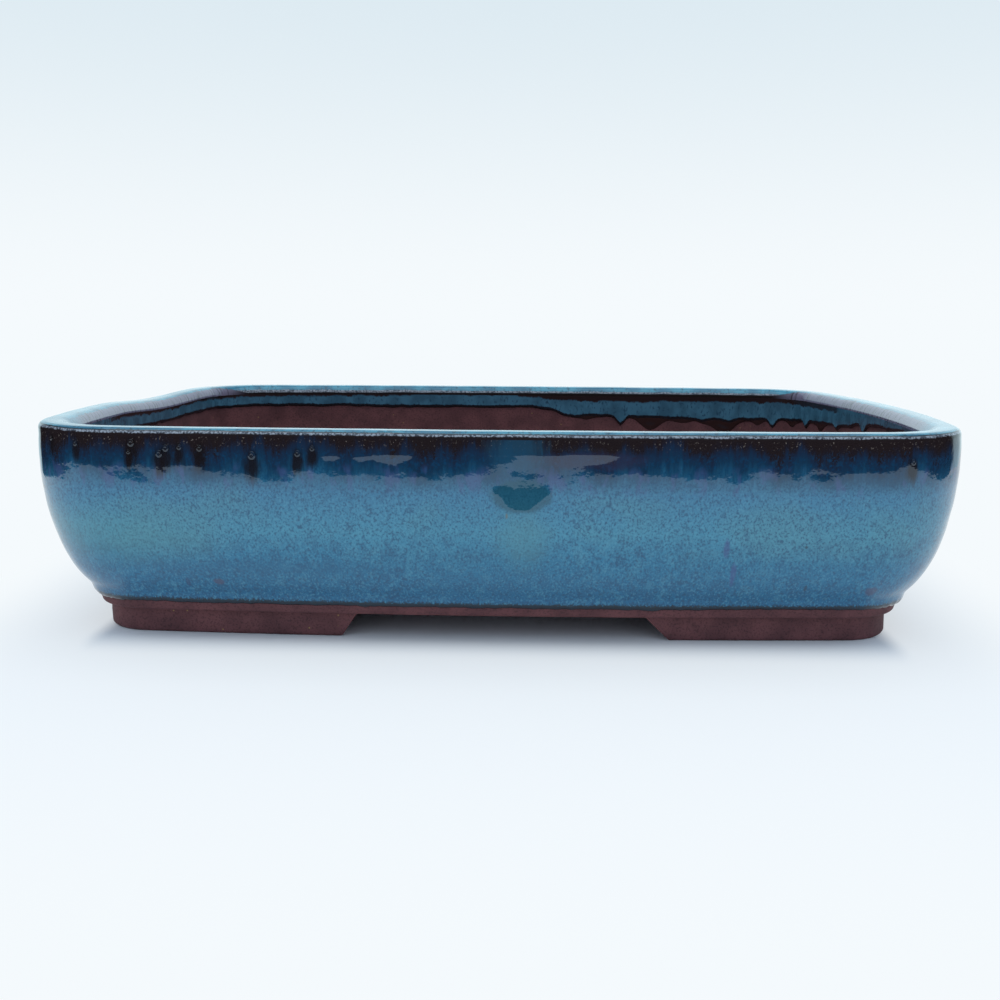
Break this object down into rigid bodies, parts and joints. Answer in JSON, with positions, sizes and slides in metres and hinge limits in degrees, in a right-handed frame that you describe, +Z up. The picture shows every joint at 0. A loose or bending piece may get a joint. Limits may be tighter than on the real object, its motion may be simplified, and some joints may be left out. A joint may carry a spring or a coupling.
{
  "type": "bonsai pot",
  "caption": "Shallow oblong bonsai pot with bowed walls, a rounded belly, rounded corners, an unglazed base and corner feet, glazed outside and over the rim.",
  "frame": {"origin": "on the table, under the middle of the pot", "axes": "+X along the length, +Z up through the rim; the front long wall faces -Y"},
  "size_m": [0.24, 0.178, 0.053],
  "materials": {
    "clay": "matte unglazed dark reddish-brown stoneware with a fine speckle",
    "glaze": "glossy mottled blue-green glaze, dark brown-black and navy below the rim",
    "rim_glaze": "glossy glaze broken thin over the rim, brown-black with a pale speckled line",
    "inner_glaze": "glossy dark teal glaze collar with a dripping edge"
  },
  "bodies": {
    "root": {"base_slab": "clay", "wall_front": "clay", "wall_back": "clay", "wall_left": "clay", "wall_right": "clay", "inside_coil": "clay", "foot_front_left": "clay", "foot_front_right": "clay", "foot_back_left": "clay", "foot_back_right": "clay", "outer_glaze": "glaze", "rim_glaze": "rim_glaze", "inner_glaze": "inner_glaze"}
  },
  "joints": []
}
